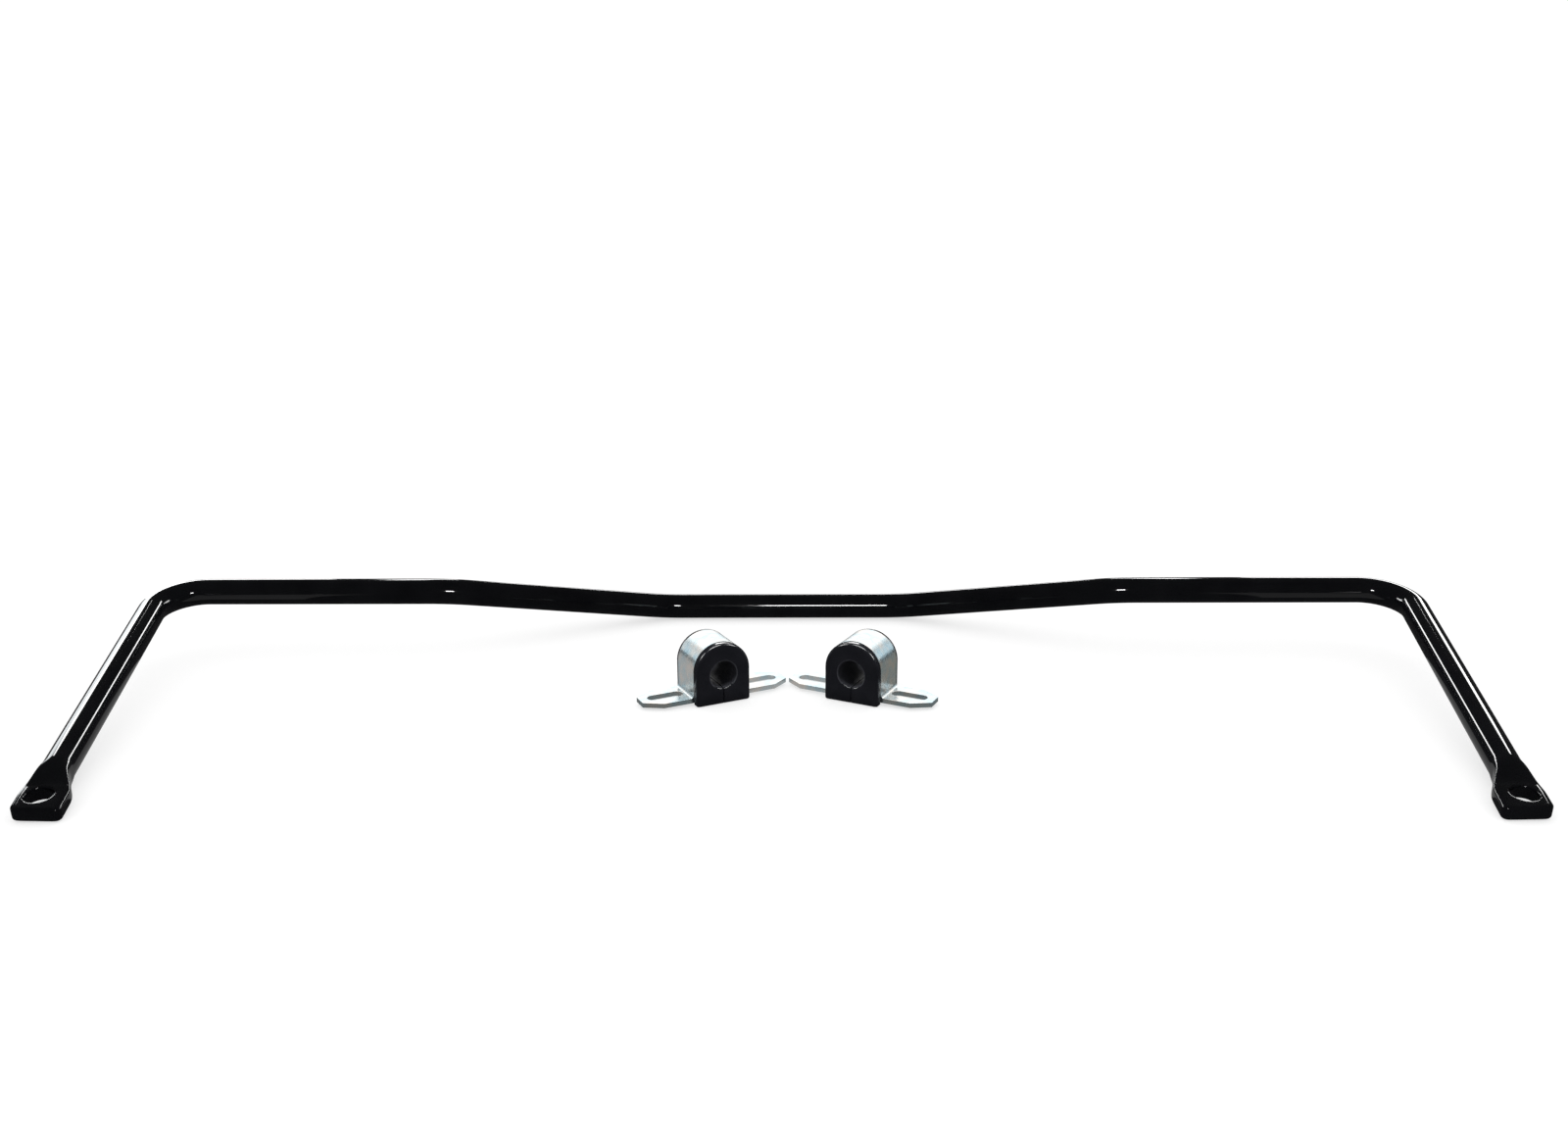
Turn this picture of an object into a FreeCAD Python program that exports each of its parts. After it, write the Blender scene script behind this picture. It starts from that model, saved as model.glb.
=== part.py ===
"""Vehicle sway bar kit: a bent bar with forged end eyes, two D-shaped bushings and two strap brackets.

The kit lies on a flat surface, z = 0. The bar rests on its dropped middle and on the tips of its two eyes.
Each bushing stands on its flat base in front of the bar, with its bracket pushed down over it.
"""

import FreeCAD
import math
import os
import Part
import Sketcher

V = FreeCAD.Vector
Z_AXIS = V(0, 0, 1)

# alias, value in mm or degrees, what it is
DIMENSIONS = [
    ("bar_dia", 22.225, "diameter of the round bar"),
    ("corner_x", 540.0, "bar centre to the corner of each arm"),
    ("corner_bend", 36.0, "centreline radius of each corner"),
    ("jog_outer_x", 290.0, "bar centre to the outer kink of the middle jog"),
    ("jog_inner_x", 110.0, "bar centre to the inner kink of the middle jog"),
    ("jog_bend", 75.0, "centreline radius of each kink"),
    ("jog_drop", 41.5, "how far the middle lies below the outer runs"),
    ("jog_back", 86.0, "how far the middle lies behind the outer runs"),
    ("arm_len", 330.0, "corner to the centre of the eye's hole"),
    ("arm_toe", 8.7, "angle by which each arm leans inwards"),
    ("eye_width", 33.0, "width of the forged eye"),
    ("eye_shift", 2.0, "how far the eye's outline lies inwards of its hole"),
    ("eye_thick", 10.2, "thickness of the forged eye"),
    ("eye_tip", 17.5, "hole centre to the cut end of the eye, on its middle line"),
    ("eye_corner", 5.0, "corner radius of the cut end"),
    ("eye_neck", 44.0, "hole centre back to the start of the forging"),
    ("eye_dip", 40.0, "hole centre back to where the faces start to close in"),
    ("eye_widen", 31.0, "hole centre back to where the sides start to spread"),
    ("eye_level", 11.0, "hole centre back to where the faces become flat"),
    ("eye_full", 1.0, "hole centre back to where the eye reaches its width"),
    ("eye_hole_dia", 18.5, "hole for the end link"),
    ("eye_rim", 1.2, "rounding of the hole's rims"),
    ("eye_edge", 2.2, "rounding of the eye's edges"),
    ("bush_half", 23.0, "half width and crown radius of the bushing's lips"),
    ("crown_z", 26.7, "height of the centre of the bushing's half-round crown"),
    ("bore_z", 24.0, "height of the bore's axis"),
    ("bush_bore_dia", 22.325, "bore of the bushing"),
    ("front_lip", 6.5, "thickness of the front end lip"),
    ("back_lip", 3.5, "thickness of the back end lip"),
    ("bush_lip_edge", 2.4, "rounding of the lips' outer edges"),
    ("bush_slit", 0.8, "width of the slit from bore to base"),
    ("strap_width", 31.75, "width of the bracket's strap"),
    ("strap_thick", 4.0, "thickness of the bracket's strap"),
    ("strap_gap", 0.3, "clearance between strap and bushing"),
    ("ear_lift", 1.8, "gap under the ears before the bolts pull them down"),
    ("ear_half", 62.5, "bracket centre to the end of each ear"),
    ("ear_cut_long", 14.5, "corner cut of the ear, along it"),
    ("ear_cut_wide", 9.0, "corner cut of the ear, across it"),
    ("ear_bend", 2.6, "inside radius between strap and ear"),
    ("slot_centre", 41.0, "bracket centre to the middle of each slot"),
    ("slot_len", 29.6, "end to end length of each slot"),
    ("slot_width", 10.4, "width of each slot"),
    ("set_left_x", -55.0, "middle of the left bushing, across"),
    ("set_right_x", 64.0, "middle of the right bushing, across"),
    ("set_front_y", -112.7, "middle of the bushings, in front of the outer runs"),
    ("set_turn", 26.5, "angle by which each set is turned outwards"),
]

ALIASES = {alias for alias, _, _ in DIMENSIONS}

doc = FreeCAD.newDocument("sway_bar_kit")
sheet = doc.addObject("Spreadsheet::Sheet", "Sizes")
for row, (alias, value, meaning) in enumerate(DIMENSIONS, start=1):
    sheet.set(f"A{row}", alias)
    sheet.set(f"B{row}", str(value))
    sheet.set(f"C{row}", meaning)
    sheet.setAlias(f"B{row}", alias)
doc.recompute()


def size(alias):
    """The value of one driving dimension."""
    return float(sheet.get(alias))


# --- helpers --------------------------------------------------------------------------------------


def cell(expression):
    """An expression with each driving dimension written as its sheet cell."""
    words = [f"Sizes.{word}" if word in ALIASES else word for word in expression.split()]
    return " ".join(words)


def bind(feature, **expressions):
    """Binds properties of a feature to expressions of the sheet's cells."""
    for name, expression in expressions.items():
        feature.setExpression(name, cell(expression))


def new_body(name, label):
    body = doc.addObject("PartDesign::Body", name)
    body.Label = label
    return body


def new_sketch(body, name, role, offset=None):
    """A sketch on one of the body's own origin planes; offset moves it along the plane's normal."""
    sketch = body.newObject("Sketcher::SketchObject", name)
    plane = next(p for p in body.Origin.OriginFeatures if p.Role == role)
    sketch.AttachmentSupport = [(plane, "")]
    sketch.MapMode = "FlatFace"
    if offset is not None:
        sketch.setExpression("AttachmentOffset.Base.z", cell(offset))
    return sketch


def dimension(sketch, kind, references, value, name, expression):
    """A named dimensional constraint bound to the sheet."""
    index = sketch.addConstraint(Sketcher.Constraint(kind, *references, value))
    sketch.renameConstraint(index, name)
    sketch.setExpression(f"Constraints.{name}", cell(expression))


def join(sketch, kind, pairs):
    """Joins the end of the first edge of each pair to the start of the second, as a corner or a tangent."""
    for first, second in pairs:
        sketch.addConstraint(Sketcher.Constraint(kind, first, 2, second, 1))


def chain(sketch, count):
    """A closed outline of count edges with plain corners."""
    join(sketch, "Coincident", [(edge, (edge + 1) % count) for edge in range(count)])


def arch_sketch(body, name, half, base, half_expression, base_expression, offset=None):
    """A D outline standing in the XZ plane: two sides, a half-round crown and a flat base."""
    sketch = new_sketch(body, name, "XZ_Plane", offset)
    crown_z = size("crown_z")
    sketch.addGeometry(Part.LineSegment(V(-half, base, 0), V(half, base, 0)))
    sketch.addGeometry(Part.LineSegment(V(half, base, 0), V(half, crown_z, 0)))
    crown = Part.Circle(V(0, crown_z, 0), Z_AXIS, half)
    sketch.addGeometry(Part.ArcOfCircle(crown, 0, math.pi))
    sketch.addGeometry(Part.LineSegment(V(-half, crown_z, 0), V(-half, base, 0)))
    join(sketch, "Coincident", ((0, 1), (3, 0)))
    join(sketch, "Tangent", ((1, 2), (2, 3)))
    sketch.addConstraint(Sketcher.Constraint("Horizontal", 0))
    sketch.addConstraint(Sketcher.Constraint("Vertical", 1))
    sketch.addConstraint(Sketcher.Constraint("Vertical", 3))
    sketch.addConstraint(Sketcher.Constraint("PointOnObject", 2, 3, -2))
    dimension(sketch, "Radius", (2,), half, "crown", half_expression)
    dimension(sketch, "DistanceY", (-1, 1, 2, 3), crown_z, "centre", "crown_z")
    if base > 0:
        dimension(sketch, "DistanceY", (-1, 1, 0, 1), base, "base", base_expression)
    else:
        sketch.addConstraint(Sketcher.Constraint("PointOnObject", 0, 1, -1))
    return sketch


def bore_sketch(body, name):
    """The bore's circle, raised along the plane's second axis."""
    sketch = new_sketch(body, name, "XZ_Plane")
    across, height = size("bush_bore_dia"), size("bore_z")
    sketch.addGeometry(Part.Circle(V(0, height, 0), Z_AXIS, across / 2))
    dimension(sketch, "Diameter", (0,), across, "dia", "bush_bore_dia")
    sketch.addConstraint(Sketcher.Constraint("PointOnObject", 0, 3, -2))
    dimension(sketch, "DistanceY", (-1, 1, 0, 3), height, "height", "bore_z")
    return sketch


def rectangle_sketch(body, name, half, low, high, expressions):
    """A rectangle standing in the XZ plane: half its width each way, from low to high."""
    sketch = new_sketch(body, name, "XZ_Plane")
    corners = [V(-half, low, 0), V(half, low, 0), V(half, high, 0), V(-half, high, 0)]
    for start, end in zip(corners, corners[1:] + corners[:1]):
        sketch.addGeometry(Part.LineSegment(start, end))
    chain(sketch, 4)
    for edge, kind in enumerate(("Vertical", "Horizontal", "Vertical"), start=1):
        sketch.addConstraint(Sketcher.Constraint(kind, edge))
    sketch.addConstraint(Sketcher.Constraint("Symmetric", 0, 1, 0, 2, -2))
    dimension(sketch, "DistanceX", (0, 1, 0, 2), 2 * half, "width", expressions[0])
    dimension(sketch, "DistanceY", (-1, 1, 0, 1), low, "low", expressions[1])
    dimension(sketch, "DistanceY", (-1, 1, 2, 1), high, "high", expressions[2])
    return sketch


def pad(body, name, sketch, length):
    """A pad that grows half its length each way from the sketch."""
    feature = body.newObject("PartDesign::Pad", name)
    feature.Profile = sketch
    feature.Midplane = True
    bind(feature, Length=length)
    doc.recompute()
    return feature


def pocket_through(body, name, sketch):
    """A cut through everything, both ways."""
    feature = body.newObject("PartDesign::Pocket", name)
    feature.Profile = sketch
    feature.Type = "ThroughAll"
    feature.Midplane = True
    doc.recompute()
    return feature


def dress(body, kind, name, base, chosen, **expressions):
    """A fillet or chamfer on the edges of base that chosen() picks."""
    feature = body.newObject(f"PartDesign::{kind}", name)
    edges = [f"Edge{i}" for i, edge in enumerate(base.Shape.Edges, start=1) if chosen(edge)]
    feature.Base = (base, edges)
    bind(feature, **expressions)
    doc.recompute()
    return feature


def near(a, b, tolerance=0.05):
    return abs(a - b) < tolerance


def edge_middle(edge):
    return edge.valueAt((edge.FirstParameter + edge.LastParameter) / 2)


# --- the bar --------------------------------------------------------------------------------------

radius = size("bar_dia") / 2
outer_z = size("jog_drop") + radius
toe = math.radians(size("arm_toe"))
reach = size("arm_len") + size("eye_tip")
half_eye = size("eye_thick") / 2
# the arm slopes down until the lower edge of the eye's tip touches z = 0
arm_slope = math.asin(outer_z / math.hypot(reach, half_eye)) - math.atan2(half_eye, reach)


def arm_direction(side):
    """Unit vector from the corner towards the eye, side -1 on the left and +1 on the right."""
    flat = math.cos(arm_slope)
    return V(-side * math.sin(toe) * flat, -math.cos(toe) * flat, -math.sin(arm_slope))


def corner(side):
    return V(side * size("corner_x"), 0, outer_z)


def bent_wire(points, radii):
    """Straight runs through points, joined by a tangent arc of the given radius at each inner point."""
    edges = []
    start = points[0]
    for before, here, after, bend in zip(points, points[1:], points[2:], radii):
        into = (here - before).normalize()
        out = (after - here).normalize()
        turn = into.getAngle(out)
        tangent = bend * math.tan(turn / 2)
        first, last = here - into * tangent, here + out * tangent
        inward = (out - into).normalize()
        middle = here + inward * (bend / math.cos(turn / 2) - bend)
        edges.append(Part.LineSegment(start, first).toShape())
        edges.append(Part.Arc(first, middle, last).toShape())
        start = last
    edges.append(Part.LineSegment(start, points[-1]).toShape())
    return Part.Wire(edges)


def bar_points():
    """Corners of the centreline of the round stock, from one forging to the other."""
    neck = size("arm_len") - size("eye_neck")
    middle_y, middle_z = size("jog_back"), radius
    left = [
        corner(-1) + arm_direction(-1) * neck,
        corner(-1),
        V(-size("jog_outer_x"), 0, outer_z),
        V(-size("jog_inner_x"), middle_y, middle_z),
    ]
    right = [V(-p.x, p.y, p.z) for p in reversed(left)]
    return left + right


def make_round_bar():
    """The round stock, swept along its bent centreline."""
    bends = [size(a) for a in ("corner_bend", "jog_bend", "jog_bend")]
    path = doc.addObject("Part::Feature", "Centreline")
    path.Shape = bent_wire(bar_points(), bends + bends[::-1])
    section = doc.addObject("Part::Circle", "StockSection")
    bind(section, Radius="bar_dia / 2")
    start = bar_points()[0]
    section.Placement = FreeCAD.Placement(start, FreeCAD.Rotation(Z_AXIS, arm_direction(-1)))
    stock = doc.addObject("Part::Sweep", "RoundStock")
    stock.Sections = [section]
    stock.Spine = path
    stock.Solid = True
    stock.Frenet = False
    doc.recompute()
    return stock


def eye_outline(body, side):
    """Plan of the flat part of the eye, +Y towards the tip. The end is cut parallel to the outer runs."""
    sketch = new_sketch(body, "Plan" + body.Name, "XY_Plane")
    half, tip, foot = size("eye_width") / 2, size("eye_tip"), -size("eye_full")
    shift, lean = side * size("eye_shift"), side * half * math.tan(toe)
    corners = [V(shift - half, foot, 0), V(shift + half, foot, 0),
               V(shift + half, tip + lean, 0), V(shift - half, tip - lean, 0)]
    for start, end in zip(corners, corners[1:] + corners[:1]):
        sketch.addGeometry(Part.LineSegment(start, end))
    chain(sketch, 4)
    sketch.addConstraint(Sketcher.Constraint("Vertical", 1))
    sketch.addConstraint(Sketcher.Constraint("Vertical", 3))
    sketch.addConstraint(Sketcher.Constraint("Horizontal", 0))
    dimension(sketch, "DistanceX", (0, 1, 0, 2), 2 * half, "width", "eye_width")
    dimension(sketch, "DistanceX", (-1, 1, 0, 2), shift + half, "offset",
              f"eye_width / 2 {'+' if side > 0 else '-'} eye_shift")
    dimension(sketch, "DistanceY", (0, 1, -1, 1), -foot, "foot", "eye_full")
    slant = "eye_width / 2 * tan( arm_toe * 1deg )"
    for point, name, sign in (((2, 1), "plus_side", side), ((2, 2), "minus_side", -side)):
        mark = "+" if sign > 0 else "-"
        dimension(sketch, "DistanceY", (-1, 1, *point), tip + sign * half * math.tan(toe), name,
                  f"eye_tip {mark} {slant}")
    return sketch


def ease(distance, start, end):
    """A smooth rise from 0 at start to 1 at end, for distances that count down towards the hole."""
    share = min(1, max(0, (start - distance) / (start - end)))
    return share * share * (3 - 2 * share)


def shoulder_section(body, side, number, count):
    """One rounded section of the shoulder, between the round stock at the neck and the flat eye."""
    sketch = new_sketch(body, f"Section{number}{body.Name}", "XZ_Plane",
                        f"eye_neck + ( eye_full - eye_neck ) * {number} / {count}")
    distance = size("eye_neck") + (size("eye_full") - size("eye_neck")) * number / count
    spread = ease(distance, size("eye_widen"), size("eye_full"))
    flatten = ease(distance, size("eye_dip"), size("eye_level"))
    round_half = radius + 0.05
    wide = round_half + (size("eye_width") / 2 - round_half) * spread
    tall = round_half + (half_eye - round_half) * flatten
    bend = radius + (size("eye_edge") - radius) * flatten
    shift = side * size("eye_shift") * spread
    corners = [(shift + wide - bend, tall - bend), (shift + bend - wide, tall - bend),
               (shift + bend - wide, bend - tall), (shift + wide - bend, bend - tall)]
    for quarter, (x, z) in enumerate(corners):
        start = quarter * math.pi / 2
        next_x, next_z = corners[(quarter + 1) % 4]
        leave = V(math.cos(start + math.pi / 2), math.sin(start + math.pi / 2), 0) * bend
        arc = Part.Circle(V(x, z, 0), Z_AXIS, bend)
        sketch.addGeometry(Part.ArcOfCircle(arc, start, start + math.pi / 2))
        sketch.addGeometry(Part.LineSegment(V(x, z, 0) + leave, V(next_x, next_z, 0) + leave))
    chain(sketch, 8)
    return sketch


def hole_profile(body):
    """Half section of what the hole and its two rounded rims take away."""
    sketch = new_sketch(body, "HoleSection" + body.Name, "XZ_Plane")
    hole, rim, above = size("eye_hole_dia") / 2, size("eye_rim"), half_eye + 2
    mouth, level = hole + rim, half_eye - rim

    def line(start, end):
        sketch.addGeometry(Part.LineSegment(V(*start, 0), V(*end, 0)))

    def rim_arc(height, start):
        circle = Part.Circle(V(mouth, height, 0), Z_AXIS, rim)
        sketch.addGeometry(Part.ArcOfCircle(circle, start, start + math.pi / 2))

    line((0, -above), (mouth, -above))
    line((mouth, -above), (mouth, -half_eye))
    rim_arc(-level, math.pi)
    line((hole, -level), (hole, level))
    rim_arc(level, math.pi / 2)
    line((mouth, half_eye), (mouth, above))
    line((mouth, above), (0, above))
    line((0, above), (0, -above))
    joints = [(0, 2, 1, 1), (1, 2, 2, 2), (2, 1, 3, 1), (3, 2, 4, 2), (4, 1, 5, 1), (5, 2, 6, 1),
              (6, 2, 7, 1), (7, 2, 0, 1)]
    for ends in joints:
        sketch.addConstraint(Sketcher.Constraint("Coincident", *ends))
    for edge in (1, 3, 5, 7):
        sketch.addConstraint(Sketcher.Constraint("Vertical", edge))
    for edge in (0, 6):
        sketch.addConstraint(Sketcher.Constraint("Horizontal", edge))
    sketch.addConstraint(Sketcher.Constraint("PointOnObject", 7, 1, -2))
    dimension(sketch, "DistanceX", (-1, 1, 3, 1), hole, "hole", "eye_hole_dia / 2")
    dimension(sketch, "Radius", (2,), rim, "lower_rim", "eye_rim")
    dimension(sketch, "Radius", (4,), rim, "upper_rim", "eye_rim")
    return sketch


def make_eye(side):
    """One forged eye about its own hole: +Y towards the tip, +Z square to its faces."""
    name = "Left" if side < 0 else "Right"
    body = new_body(f"{name}Eye", f"{name.lower()}_eye_forging")
    flat = pad(body, f"{name}EyeFlat", eye_outline(body, side), "eye_thick")
    tip_corners = dress(body, "Fillet", f"{name}EyeCorners", flat,
                        lambda e: near(edge_middle(e).z, 0) and edge_middle(e).y > 0, Radius="eye_corner")
    foot = -size("eye_full")
    dress(body, "Fillet", f"{name}EyeEdges", tip_corners,
          lambda e: near(abs(edge_middle(e).z), half_eye) and not near(edge_middle(e).y, foot),
          Radius="eye_edge")
    count = 13
    sections = [shoulder_section(body, side, number, count) for number in range(count + 1)]
    shoulder = body.newObject("PartDesign::AdditiveLoft", f"{name}Shoulder")
    shoulder.Profile = sections[0]
    shoulder.Sections = sections[1:]
    shoulder.Ruled = True
    doc.recompute()
    bore = body.newObject("PartDesign::Groove", f"{name}EyeBore")
    bore.Profile = hole_profile(body)
    bore.ReferenceAxis = (bore.Profile[0], ["V_Axis"])
    bore.Angle = 360
    body.Placement = FreeCAD.Placement(
        corner(side) + arm_direction(side) * size("arm_len"),
        FreeCAD.Rotation(V(0, 0, 0), arm_direction(side), arm_normal(side), "ZYX"),
    )
    return body


def arm_normal(side):
    """Unit vector square to the eye's faces, pointing up, with the eye level across."""
    along = arm_direction(side)
    across = along.cross(Z_AXIS).normalize()
    return across.cross(along).normalize()


def make_sway_bar():
    pieces = [make_round_bar(), make_eye(-1), make_eye(1)]
    bar = doc.addObject("Part::MultiFuse", "SwayBar")
    bar.Shapes = pieces
    bar.Refine = True
    bar.Label = "sway_bar"
    doc.recompute()
    return bar


# --- bushings and brackets ------------------------------------------------------------------------


def make_bushing(name):
    """A D-shaped bushing on its base, bore along Y: a slim core between two lips, slit below the bore."""
    body = new_body(f"{name}Bushing", f"{name.lower()}_bushing")
    core_half = "bush_half - strap_thick - strap_gap"
    half = size("bush_half") - size("strap_thick") - size("strap_gap")
    core = arch_sketch(body, f"{name}Core", half, 0, core_half, "0")
    pad(body, f"{name}CorePad", core, "strap_width + 2 * strap_gap + front_lip")
    lip = None
    for end, sign, opposite in (("front", "", "back"), ("back", "-", "front")):
        middle = f"{sign} ( strap_width + 2 * strap_gap + {opposite}_lip ) / 2"
        outline = arch_sketch(body, f"{name}{end}LipOutline", size("bush_half"), 0, "bush_half", "0",
                              middle)
        lip = pad(body, f"{name}{end}Lip", outline, f"{end}_lip")
    faces_y = size("strap_width") / 2 + size("strap_gap") + (size("front_lip") + size("back_lip")) / 2
    dress(body, "Fillet", f"{name}LipEdges", lip,
          lambda e: near(abs(edge_middle(e).y), faces_y) and edge_middle(e).z > 1,
          Radius="bush_lip_edge")
    bore = bore_sketch(body, f"{name}BoreCircle")
    pocket_through(body, f"{name}Bore", bore)
    slit = rectangle_sketch(body, f"{name}SlitOutline", size("bush_slit") / 2, -1,
                            size("bore_z"), ("bush_slit", "-1", "bore_z"))
    pocket_through(body, f"{name}Slit", slit)
    return body


def outwards(sign, inner, outer):
    """The two points of a distance in rising order, on either side of the middle."""
    return (*inner, *outer) if sign > 0 else (*outer, *inner)


def ear_cut(body, name, x_sign, y_sign):
    """The triangle cut off one corner of an ear."""
    sketch = new_sketch(body, name, "XY_Plane")
    end, side = x_sign * size("ear_half"), y_sign * size("strap_width") / 2
    long, wide = x_sign * size("ear_cut_long"), y_sign * size("ear_cut_wide")
    points = [V(end, side, 0), V(end - long, side, 0), V(end, side - wide, 0)]
    for start, stop in zip(points, points[1:] + points[:1]):
        sketch.addGeometry(Part.LineSegment(start, stop))
    chain(sketch, 3)
    sketch.addConstraint(Sketcher.Constraint("Horizontal", 0))
    sketch.addConstraint(Sketcher.Constraint("Vertical", 2))
    origin, outer_corner, along_ear, across_ear = (-1, 1), (0, 1), (0, 2), (2, 1)
    dimension(sketch, "DistanceX", outwards(x_sign, origin, outer_corner), abs(end), "end", "ear_half")
    dimension(sketch, "DistanceY", outwards(y_sign, origin, outer_corner), abs(side), "side",
              "strap_width / 2")
    dimension(sketch, "DistanceX", outwards(x_sign, along_ear, outer_corner), abs(long), "long",
              "ear_cut_long")
    dimension(sketch, "DistanceY", outwards(y_sign, across_ear, outer_corner), abs(wide), "wide",
              "ear_cut_wide")
    return sketch


def slot_sketch(body, name, x_sign):
    """A round-ended slot in one ear, running along the ear."""
    sketch = new_sketch(body, name, "XY_Plane")
    bend = size("slot_width") / 2
    reach_x = size("slot_len") / 2 - bend
    near_x, far_x = (x_sign * size("slot_centre") + s * reach_x for s in (-1, 1))
    ends = [(far_x, -math.pi / 2, math.pi / 2), (near_x, math.pi / 2, 3 * math.pi / 2)]
    right, left = (Part.ArcOfCircle(Part.Circle(V(x, 0, 0), Z_AXIS, bend), a, b) for x, a, b in ends)
    top = Part.LineSegment(V(far_x, bend, 0), V(near_x, bend, 0))
    bottom = Part.LineSegment(V(near_x, -bend, 0), V(far_x, -bend, 0))
    for geometry in (right, top, left, bottom):
        sketch.addGeometry(geometry)
    join(sketch, "Tangent", ((0, 1), (1, 2), (2, 3), (3, 0)))
    sketch.addConstraint(Sketcher.Constraint("PointOnObject", 0, 3, -1))
    sketch.addConstraint(Sketcher.Constraint("PointOnObject", 2, 3, -1))
    dimension(sketch, "Radius", (0,), bend, "end", "slot_width / 2")
    dimension(sketch, "DistanceX", (2, 3, 0, 3), 2 * reach_x, "span", "slot_len - slot_width")
    order = (-1, 1, 2, 3) if x_sign > 0 else (0, 3, -1, 1)
    dimension(sketch, "DistanceX", order, size("slot_centre") - reach_x, "place",
              "slot_centre - ( slot_len - slot_width ) / 2")
    return sketch


def make_bracket(name):
    """A flat strap bent over the bushing, with a slotted ear on each side."""
    body = new_body(f"{name}Bracket", f"{name.lower()}_bracket")
    half, lift, thick = size("bush_half"), size("ear_lift"), size("strap_thick")
    hoop = arch_sketch(body, f"{name}Hoop", half, lift, "bush_half", "ear_lift")
    pad(body, f"{name}HoopPad", hoop, "strap_width")
    ears = rectangle_sketch(body, f"{name}EarOutline", size("ear_half"), lift, lift + thick,
                            ("2 * ear_half", "ear_lift", "ear_lift + strap_thick"))
    pad(body, f"{name}Ears", ears, "strap_width")
    inside = arch_sketch(body, f"{name}Inside", half - thick, 0, "bush_half - strap_thick", "0")
    opened = pocket_through(body, f"{name}Opening", inside)

    def bend_edge(x, z):
        return lambda e: (near(abs(edge_middle(e).x), x) and near(edge_middle(e).z, z)
                          and near(abs(e.tangentAt(e.FirstParameter).y), 1))

    inner = dress(body, "Fillet", f"{name}BendInside", opened, bend_edge(half, lift + thick),
                  Radius="ear_bend")
    dress(body, "Fillet", f"{name}BendOutside", inner, bend_edge(half - thick, lift),
          Radius="ear_bend + strap_thick / 2")
    cuts = [(x, y) for x in (-1, 1) for y in (-1, 1)]
    for number, (x_sign, y_sign) in enumerate(cuts):
        corner_outline = ear_cut(body, f"{name}EarCorner{number}", x_sign, y_sign)
        pocket_through(body, f"{name}EarCut{number}", corner_outline)
    for side, x_sign in (("Left", -1), ("Right", 1)):
        outline = slot_sketch(body, f"{name}{side}SlotOutline", x_sign)
        pocket_through(body, f"{name}{side}Slot", outline)
    return body


# --- the kit --------------------------------------------------------------------------------------

bar = make_sway_bar()
box = bar.Shape.optimalBoundingBox()
shift_y = -(box.YMin + box.YMax) / 2  # the origin lies halfway between the eyes' tips and the middle's back
bar.Placement = FreeCAD.Placement(V(0, shift_y, 0), FreeCAD.Rotation())
groove_middle = V(0, (size("front_lip") - size("back_lip")) / 2, 0)
pieces = [bar]
for name, side in (("Left", -1), ("Right", 1)):
    place = V(size(f"set_{name.lower()}_x"), size("set_front_y") + shift_y, 0)
    turn = FreeCAD.Rotation(Z_AXIS, -side * size("set_turn"))
    bushing, bracket = make_bushing(name), make_bracket(name)
    bushing.Placement = FreeCAD.Placement(place, turn)
    bracket.Placement = FreeCAD.Placement(place + turn.multVec(groove_middle), turn)
    pieces += [bushing, bracket]
doc.recompute()

for item in doc.Objects:
    if {"Invalid", "Error"} & set(item.State):
        raise RuntimeError(f"{item.Label} failed: {item.State}")
for piece in pieces:
    shape = piece.Shape
    if shape.isNull() or not shape.isValid() or not shape.Solids:
        raise RuntimeError(f"{piece.Label} is not a valid solid")

os.makedirs("parts", exist_ok=True)
for piece in pieces:
    shape = piece.Shape
    shape.exportStep(f"parts/{piece.Label}.step")
    box = shape.optimalBoundingBox()
    low_high = [round(v, 2) for v in (box.XMin, box.XMax, box.YMin, box.YMax, box.ZMin, box.ZMax)]
    print(f"{piece.Label}: {len(shape.Solids)} solid, {shape.Volume / 1000:.2f} cm3, box {low_high}")
slope = math.degrees(arm_slope)
print(f"origin moved by {shift_y:.3f} mm, outer run at z {outer_z:.3f}, arm slope {slope:.3f} degrees")
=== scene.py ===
"""Looks of the sway bar kit: powder-coated bar, polyurethane bushings and zinc-plated strap brackets."""

import math

import bmesh
import bpy
import numpy as np
from mathutils import Matrix, Vector


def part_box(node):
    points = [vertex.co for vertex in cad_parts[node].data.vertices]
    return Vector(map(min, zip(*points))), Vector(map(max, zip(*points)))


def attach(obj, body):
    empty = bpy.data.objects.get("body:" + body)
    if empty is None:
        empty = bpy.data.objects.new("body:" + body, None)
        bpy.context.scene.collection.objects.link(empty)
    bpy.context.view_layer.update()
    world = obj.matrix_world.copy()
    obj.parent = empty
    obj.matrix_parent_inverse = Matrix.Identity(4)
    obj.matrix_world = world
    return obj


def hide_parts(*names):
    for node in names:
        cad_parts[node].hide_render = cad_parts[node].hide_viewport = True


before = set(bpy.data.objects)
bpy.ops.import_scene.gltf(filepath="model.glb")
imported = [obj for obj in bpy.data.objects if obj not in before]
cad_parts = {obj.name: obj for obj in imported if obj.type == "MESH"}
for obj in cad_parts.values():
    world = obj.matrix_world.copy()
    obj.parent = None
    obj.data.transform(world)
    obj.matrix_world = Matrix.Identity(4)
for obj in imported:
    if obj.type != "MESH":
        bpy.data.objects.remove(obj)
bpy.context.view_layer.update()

MM = 0.001

# --- sizes in mm, as in the CAD ----------------------------------------------

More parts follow.
